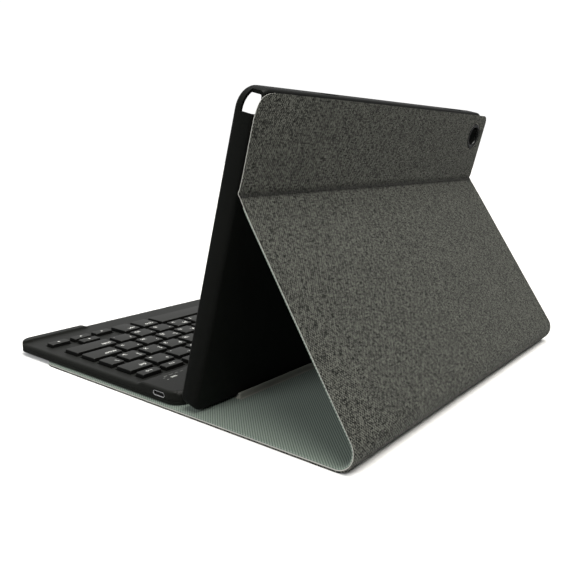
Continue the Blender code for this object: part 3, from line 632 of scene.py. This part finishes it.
lowUnit, topUnit = 1.0925, 14.37 / 14
keyRows = [
    (-108.2, 17.0, [("arrow_right_key", 1, "▶", ""), ("arrow_up_down", 1, "", ""),
                    ("arrow_left_key", 1, "◀", ""), ("right_option_key", 1, "opt", ""),
                    ("right_command_key", 1, "cmd", ""), ("space_key", 5, "", ""),
                    ("left_command_key", lowUnit, "cmd", ""), ("left_option_key", lowUnit, "opt", ""),
                    ("left_control_key", lowUnit, "ctrl", ""),
                    ("function_shift_key", lowUnit, "fn", "")]),
    (-87.5, 13.6, [("right_shift_key", 2.0, "shift", "")] + letterKeys("lower")
     + [("left_shift_key", 2.37, "shift", "")]),
    (-70.3, 13.6, [("enter_key", 1.47, "enter", "")] + letterKeys("home")
     + [("caps_lock_key", 1.9, "caps", "")]),
    (-53.1, 13.6, [("backslash_key", 0.77, "\\", "")] + letterKeys("upper")
     + [("tab_key", 1.6, "tab", "")]),
    (-35.9, 13.6, [("backspace_key", 1.2, "del", "")]
     + [("number_keys", 1.0, a, b) for a, b in zip("+_)(*&^%$#@!", "=-0987654321")]
     + [("number_keys", 1.17, "~", "`")]),
    (-18.7, 7.2, [("lock_key", topUnit, "lock", "")]
     + [("function_keys", topUnit, "F%d" % n, "") for n in range(12, 0, -1)]
     + [("function_keys", topUnit, "esc", "")]),
]


def keyPlaces():
    # every key as node, left, right, front, rear, first mark, second mark
    places = []
    for front, depth, row in keyRows:
        right = keys["right"]
        for node, units, mark, other in row:
            left = right - units * keys["unit"] + keys["gap"]
            middle = front + depth / 2
            if node == "arrow_up_down":
                places.append(("arrow_down_key", left, right, front, middle - keys["halfGap"],
                               "▼", ""))
                places.append(("arrow_up_key", left, right, middle + keys["halfGap"],
                               front + depth, "▲", ""))
            elif node in ("arrow_right_key", "arrow_left_key"):
                places.append((node, left, right, front, middle - keys["halfGap"], mark, other))
            else:
                places.append((node, left, right, front, front + depth, mark, other))
            right -= units * keys["unit"]
    return places


allKeys = keyPlaces()


def deckHeight(x, y):
    # a low key deck, a smooth ramp, a raised rear deck with a soft shoulder, and a raised pad along
    # the front edge at each corner
    lift = (keyboard["hump"] - keyboard["deck"]) * smoothStep(keyboard["rampStart"],
                                                             keyboard["rampEnd"], y)
    shoulder = 1.0 * smoothStep(keyboard["rear"] - 3.0, keyboard["rear"], y) ** 2
    start, edge = keyboard["padStart"], keyboard["padEdge"]
    inPad = smoothStep(start, start + keyboard["padRamp"], np.abs(x))
    inPad = inPad * (1 - smoothStep(edge, edge + 0.9, y))
    return keyboard["deck"] + lift - shoulder + keyboard["pad"] * inPad


def caseLines():
    # grid lines across and along: every window edge, the ramp, the pads and the rounded edges
    edge = np.array([0, 0.1, 0.3, 0.6, 1.0, 1.4])
    play = keys["play"]
    xs = [v for k in allKeys for v in (k[1] - play, k[2] + play)]
    ys = [v for k in allKeys for v in (k[3] - play, k[4] + play)]
    half = keyboard["half"]
    corner = np.array([1, 0.8, 0.6, 0.4, 0.25])
    side = np.concatenate([half - edge, half - keyboard["rearCorner"] * corner,
                           half - keyboard["frontCorner"] * np.array([1, 0.75, 0.5, 0.35]),
                           keyboard["padStart"] + np.arange(6)])
    x = np.concatenate([xs, side, -side, np.linspace(-115, 115, 9)])
    y = np.concatenate([ys, keyboard["front"] + edge, keyboard["rear"] - edge,
                        keyboard["front"] + keyboard["frontCorner"] * np.array([1, 0.7, 0.45]),
                        keyboard["rear"] - keyboard["rearCorner"] * corner,
                        np.linspace(keyboard["rampStart"], keyboard["rampEnd"], 9),
                        keyboard["padEdge"] + np.arange(6) * 0.2, [2, 9, 21.5, 22.5]])
    kept = []
    for lines in (x, y):
        lines = np.unique(np.round(lines, 3))
        kept.append(lines[np.concatenate([[True], np.diff(lines) > 0.02])])
    return kept


def roundCorners(x, y, front, rear, half):
    # each corner square is mapped onto its quarter disc, so that the outline turns as an arc
    for sign, edgeY, radius in ((1, rear, keyboard["rearCorner"]), (-1, front, keyboard["frontCorner"])):
        a = np.abs(x) - (half - radius)
        b = sign * (y - edgeY) + radius
        inside = (a > 1e-6) & (b > 1e-6)
        reach = np.maximum(a, b)
        angle = np.where(a >= b, math.pi / 4 * b / np.where(a == 0, 1, a),
                         math.pi / 2 - math.pi / 4 * a / np.where(b == 0, 1, b))
        newX = np.sign(x) * (half - radius + reach * np.cos(angle))
        newY = edgeY + sign * (reach * np.sin(angle) - radius)
        x, y = np.where(inside, newX, x), np.where(inside, newY, y)
    return x, y


def topCase():
    x, y = caseLines()
    half, front, rear = keyboard["half"], keyboard["front"], keyboard["rear"]
    gridX, gridY = np.meshgrid(x, y, indexing="ij")
    fromSide = np.minimum(half - np.abs(gridX), np.minimum(gridY - front, rear - gridY))
    placedX, placedY = roundCorners(gridX, gridY, front, rear, half)
    turn = 1.4
    short = np.clip(turn - fromSide, 0, turn)
    z = deckHeight(gridX, gridY) - (turn - np.sqrt(np.maximum(turn ** 2 - short ** 2, 0)))
    # the skirt: one more line round the grid, straight down to the parting line
    padded = [np.pad(g, 1, mode="edge") for g in (placedX, placedY, z)]
    padded[2][[0, -1], :] = keyboard["split"]
    padded[2][:, [0, -1]] = keyboard["split"]
    points = np.stack(padded, -1)
    rows, columns = points.shape[:2]
    faces = gridFaces(rows, columns, wrap=False)
    middleX, middleY = (x[1:] + x[:-1]) / 2, (y[1:] + y[:-1]) / 2
    windows = np.zeros((rows - 1, columns - 1), bool)
    play = keys["play"]
    for _, left, right, low, high, _, _ in allKeys:
        across = (middleX > left - play) & (middleX < right + play)
        along = (middleY > low - play) & (middleY < high + play)
        windows[1:-1, 1:-1] |= across[:, None] & along[None, :]
    faces = faces[~windows.ravel()][:, ::-1]
    case = addPiece("keyboardTopCase", points.reshape(-1, 3), faces, finishes["keyboard"])
    tidy = bmesh.new()
    tidy.from_mesh(case.data)
    bmesh.ops.remove_doubles(tidy, verts=tidy.verts, dist=0.004 * mm)
    bmesh.ops.recalc_face_normals(tidy, faces=tidy.faces)
    top = max(tidy.faces, key=lambda f: f.calc_area())
    if top.normal.z < 0:
        bmesh.ops.reverse_faces(tidy, faces=tidy.faces)
    loose = [v for v in tidy.verts if not v.link_faces]
    bmesh.ops.delete(tidy, geom=loose, context="VERTS")
    tidy.to_mesh(case.data)
    tidy.free()
    wall = case.modifiers.new("wall", "SOLIDIFY")
    wall.thickness, wall.offset, wall.use_even_offset = 1.0 * mm, -1, True
    usbY, usbZ = keyboard["usb"]
    lightX, lightY = keyboard["light"]
    cuts = [blockCutter(roundedRing(usbY - 4.9, usbY + 4.9, usbZ - 1.75, usbZ + 1.75, 1.7, 6),
                        half - 3, half + 3, sideways),
            blockCutter(roundedRing(keyboard["switchY"] - 5, keyboard["switchY"] + 5, usbZ - 1.4,
                                    usbZ + 1.4, 0.5, 3), -half - 3, -half + 3, sideways),
            blockCutter(roundedRing(lightX - 2.2, lightX + 2.2, lightY - 1.0, lightY + 1.0, 0.8, 4),
                        6.5, 11.0)]
    cutWith(case, *cuts, angle=40)
    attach(case, "keyboard")
    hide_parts("top_case")


def bottomCase():
    half, front, rear = keyboard["half"], keyboard["front"], keyboard["rear"]
    low, high = keyboard["bottom"], keyboard["split"] - 0.25
    profile = np.array([(30, low), (1.3, low), (0.7, low + 0.12), (0.25, low + 0.45), (0.05, low + 0.9),
                        (0.05, high), (1.3, high), (1.3, low + 1.0), (30, low + 1.0)])
    corners = [keyboard["frontCorner"], keyboard["rearCorner"], keyboard["rearCorner"],
               keyboard["frontCorner"]]
    rings = [roundedRing(-half + d, half - d, front + d, rear - d,
                         [max(c - d, 0.6) for c in corners], 8) for d in profile[:, 0]]
    points, faces = ringStack(rings, profile[:, 1])
    case = addPiece("keyboardBottomCase", points, faces, finishes["keyboard"])
    # recesses for the four feet
    across, along, r = keyboard["feet"]
    cuts = [blockCutter(roundedRing(x - r, x + r, y - r, y + r, r - 0.001, 8), 1.0, 3.0)
            for x in across for y in along]
    cutWith(case, *cuts)
    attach(case, "keyboard")
    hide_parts("bottom_case")


topCase()
bottomCase()
print("keyboard case made")


# the key caps and their marks

def keyCap(left, right, front, rear):
    # a rounded cap that narrows to a soft-edged flat top: heights with insets and corner radii
    top, low = keys["top"], keys["low"]
    profile = [(low, 0.0, 1.0), (low + 0.5, 0.0, 1.0), (top - 0.45, 0.38, 1.1), (top - 0.2, 0.46, 1.1),
               (top - 0.06, 0.6, 1.1), (top, 0.85, 1.0)]
    rings = [roundedRing(left + d, right - d, front + d, rear - d, r, 5) for _, d, r in profile]
    return ringStack(rings, [h for h, _, _ in profile])


def textMesh(text, size, x, y, z, anchor):
    # one printed mark, laid flat; anchor says which point of the mark is put at x and y
    curve = bpy.data.curves.new("mark", "FONT")
    curve.body, curve.size, curve.resolution_u = text, size * mm, 3
    curve.extrude = 0.012 * mm
    curve.offset = 0.02 * mm
    holder = bpy.data.objects.new("mark", curve)
    scene.collection.objects.link(holder)
    graph = bpy.context.evaluated_depsgraph_get()
    mesh = bpy.data.meshes.new_from_object(holder.evaluated_get(graph))
    bpy.data.objects.remove(holder)
    bpy.data.curves.remove(curve)
    points = np.empty(len(mesh.vertices) * 3)
    mesh.vertices.foreach_get("co", points)
    points = points.reshape(-1, 3) / mm
    faces = [list(p.vertices) for p in mesh.polygons]
    bpy.data.meshes.remove(mesh)
    if not len(points):
        return np.zeros((0, 3)), []
    low, high = points.min(0), points.max(0)
    origin = {"rearLeft": (low[0], high[1]), "frontRight": (high[0], low[1]),
              "middle": ((low[0] + high[0]) / 2, (low[1] + high[1]) / 2)}[anchor]
    return points + np.array([x - origin[0], y - origin[1], z]), faces


def arrowMark(kind, x, y, size, z):
    # a small filled triangle, as a thin closed prism
    turn = {"▶": 0, "▲": 90, "◀": 180, "▼": 270}[kind]
    corner = np.radians(np.array([0, 120, 240]) + turn)
    ring = np.column_stack([x + size * np.cos(corner), y + size * np.sin(corner)])
    return ringStack([ring, ring], [z - 0.01, z + 0.015])


def joinParts(parts):
    points, faces, first = [], [], 0
    for p, f in parts:
        points.append(p)
        faces += [[i + first for i in face] for face in f]
        first += len(p)
    return np.concatenate(points), faces


def keySet():
    bodyOf = {node: body for body, nodes in frame["record"]["behaviour"]["bodies"].items()
              for node in nodes}
    groups = {}
    for key in allKeys:
        groups.setdefault(key[0], []).append(key)
    z = keys["top"] + 0.012
    for node, group in groups.items():
        caps = joinParts([keyCap(*k[1:5]) for k in group])
        piece = addPiece(node.replace("_keys", "_key") + "Caps", *caps, finishes["key"], angle=50)
        # the flanks take a smoother, blacker copy of the cap plastic: the black is painted shade on the
        # sides of the keys
        piece.data.materials.append(finishes["keyFlankShade"])
        upward = np.empty(len(piece.data.polygons) * 3)
        piece.data.polygons.foreach_get("normal", upward)
        piece.data.polygons.foreach_set("material_index",
                                        (upward.reshape(-1, 3)[:, 2] < 0.35).astype(np.int32))
        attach(piece, bodyOf[node])
        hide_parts(node)
        marks = []
        for _, left, right, front, rear, mark, other in group:
            small = rear - front < 10
            edge = 2.1 if small else 2.5
            if mark in ("▶", "▲", "◀", "▼"):
                marks.append(arrowMark(mark, (left + right) / 2, (front + rear) / 2, 1.1, z))
                continue
            if small:
                marks.append(textMesh(mark, 2.6, (left + right) / 2, (front + rear) / 2, z, "middle"))
                continue
            word = len(mark) > 1
            if mark:
                marks.append(textMesh(mark, 4.1 if word else 4.5, left + edge, rear - edge, z,
                                      "rearLeft"))
            if other:
                marks.append(textMesh(other, 3.9, right - edge, front + edge, z, "frontRight"))
        marks = [m for m in marks if len(m[0])]
        if marks:
            ink = addPiece(node.replace("_keys", "_key") + "Marks", *joinParts(marks),
                           finishes["ink"])
            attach(ink, bodyOf[node])


keySet()
print("keys made:", len(allKeys))


# small parts of the keyboard

def usbSocket():
    # a drawn steel ring with a rolled mouth, and the dark tongue inside it
    y, z = keyboard["usb"]
    profile = [(0.0, -7.0), (0.0, -0.45), (0.08, -0.25), (0.2, -0.2), (0.34, -0.3), (0.4, -0.6),
               (0.4, -7.0)]
    rings = [roundedRing(y - 4.5 + d, y + 4.5 - d, z - 1.4 + d, z + 1.4 - d, max(1.38 - d, 0.5), 7)
             for d, _ in profile]
    points, faces = ringStack(rings, [keyboard["half"] + h for _, h in profile])
    ring = addPiece("usbRing", sideways(*points.T), faces, finishes["steel"])
    # painted shade: the walls behind the bright mouth take the tongue's black, as the depth of the
    # socket is in shade
    ring.data.materials.append(finishes["tongue"])
    centres = np.empty(len(ring.data.polygons) * 3)
    ring.data.polygons.foreach_get("center", centres)
    deep = centres.reshape(-1, 3)[:, 0] < (keyboard["half"] - 1.0) * mm
    ring.data.polygons.foreach_set("material_index", deep.astype(np.int32))
    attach(ring, "keyboard")
    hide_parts("usb_connector")
    core = roundedRing(y - 3.2, y + 3.2, z - 0.38, z + 0.38, 0.3, 3)
    thin = roundedRing(y - 3.05, y + 3.05, z - 0.25, z + 0.25, 0.2, 3)
    points, faces = ringStack([core, core, thin], [keyboard["half"] - 6.9, keyboard["half"] - 1.2,
                                                   keyboard["half"] - 1.0])
    tongue = addPiece("usbTongue", sideways(*points.T), faces, finishes["tongue"])
    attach(tongue, "keyboard")


def deckMarks():
    # four printed dashes along the rear deck, and two short bars beside the status light
    z = keyboard["hump"] + 0.01
    parts = []
    for left in (112.6, 108.6, 104.6, 100.6):
        ring = roundedRing(left - 1.2, left + 1.2, -1.1, -0.75, 0.15, 3)
        parts.append(ringStack([ring, ring], [z, z + 0.03]))
    for low in (0.6, 3.9):
        ring = roundedRing(114.2, 115.6, low, low + 0.4, 0.15, 3)
        parts.append(ringStack([ring, ring], [z, z + 0.03]))
    marks = addPiece("deckMarks", *joinParts(parts), finishes["fadedInk"])
    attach(marks, "keyboard")


usbSocket()
deckMarks()

# every CAD node that still shows takes a finish
nodeFinish = {
    "stop_magnet": "magnet", "cover_magnet_left": "magnet", "cover_magnet_right": "magnet",
    "adhesive_sheet": "adhesive", "support_plate": "plate", "dome_sheet": "silicone",
    "battery": "foil", "circuit_board": "laminate", "status_light": "lens",
    "keyboard_magnet_left": "magnet", "keyboard_magnet_right": "magnet",
    "foot_front_left": "rubber", "foot_front_right": "rubber", "foot_rear_left": "rubber",
    "foot_rear_right": "rubber", "power_switch": "key"}
for node, finish in nodeFinish.items():
    mesh = frame["nodes"][node].data
    mesh.materials.clear()
    mesh.materials.append(finishes[finish])
bpy.data.materials.remove(spareMaterial)
print("node finishes set:", len(nodeFinish))


# floor, light and camera

studio = {"floor": "#d2d2d1", "floorReach": 6000, "worldLow": 0.02, "worldHigh": 0.6,
          "brightSide": (-0.5, -0.55, 0.67), "sun": (0.05, 0.38, 1.0), "sunPower": 4.5,
          "sunWidth": 50.0, "sidePlace": (950, 40, 430), "sideAim": (60, 80, 0),
          "sideSize": 500, "sidePower": 7.5, "camera": (343.7, 264.9, 131.9), "azimuth": 50.31,
          "elevation": 6.78, "lens": 40.55, "shift": (0.0364, -0.1026)}


def setStage():
    far = studio["floorReach"]
    points = np.array([(-far, -far, 0), (far, -far, 0), (far, far, 0), (-far, far, 0)])
    floorMaterial = speckled("white paper sweep", studio["floor"], "#fbfbfa", 0.9, 3.0, 0.02,
                             Specular_IOR_Level=0.0)
    floor = addPiece("floor", points, [[0, 1, 2, 3]], floorMaterial)
    floor.visible_glossy = False
    world = bpy.data.worlds.new("studio")
    world.use_nodes = True
    scene.world = world
    tree = world.node_tree
    background = tree.nodes["Background"]
    # a white backdrop, and light that falls mostly from above and from the front left
    seen = addNode(tree, "ShaderNodeLightPath").outputs["Is Camera Ray"]
    way = addNode(tree, "ShaderNodeTexCoord").outputs["Generated"]
    share = addNode(tree, "ShaderNodeVectorMath", {1: studio["brightSide"]}, {0: way},
                    operation="DOT_PRODUCT").outputs["Value"]
    cast = addNode(tree, "ShaderNodeMapRange", {1: -0.3, 2: 1.0, 3: studio["worldLow"],
                                                4: studio["worldHigh"]}, {0: share}).outputs[0]
    strength = addNode(tree, "ShaderNodeMix", {3: 1.05}, {0: seen, 2: cast}).outputs[0]
    tree.links.new(strength, background.inputs["Strength"])
    background.inputs["Color"].default_value = hexToLinear("#ffffff")
    sun = bpy.data.lights.new("softSun", "SUN")
    sun.energy, sun.angle = studio["sunPower"], math.radians(studio["sunWidth"])
    sun.color = hexToLinear("#fffdf8")[:3]
    holder = bpy.data.objects.new("softSun", sun)
    holder.rotation_euler = Vector(studio["sun"]).to_track_quat("Z", "Y").to_euler()
    scene.collection.objects.link(holder)
    lamp = bpy.data.lights.new("sideLight", "AREA")
    lamp.shape, lamp.size, lamp.energy = "DISK", studio["sideSize"] * mm, studio["sidePower"]
    lamp.color = hexToLinear("#fbfdff")[:3]
    holder = bpy.data.objects.new("sideLight", lamp)
    holder.location = Vector(studio["sidePlace"]) * mm
    aim = Vector(studio["sideAim"]) * mm - holder.location
    holder.rotation_euler = aim.to_track_quat("-Z", "Y").to_euler()
    holder.visible_glossy = False
    scene.collection.objects.link(holder)
    scene.view_settings.view_transform = "Standard"


def setCamera():
    lens = bpy.data.cameras.new("camera")
    lens.lens, lens.sensor_width = studio["lens"], 36.0
    lens.shift_x, lens.shift_y = studio["shift"]
    lens.clip_start, lens.clip_end = 0.01, 30.0
    holder = bpy.data.objects.new("camera", lens)
    azimuth, elevation = math.radians(studio["azimuth"]), math.radians(studio["elevation"])
    back = Vector((math.sin(azimuth) * math.cos(elevation),
                   math.cos(azimuth) * math.cos(elevation), math.sin(elevation)))
    right = Vector((-math.cos(azimuth), math.sin(azimuth), 0.0))
    up = back.cross(right)
    turn = Matrix((right, up, back)).transposed().to_4x4()
    holder.matrix_world = Matrix.Translation(Vector(studio["camera"]) * mm) @ turn
    scene.collection.objects.link(holder)
    scene.camera = holder


setStage()
setCamera()
print("stage set")
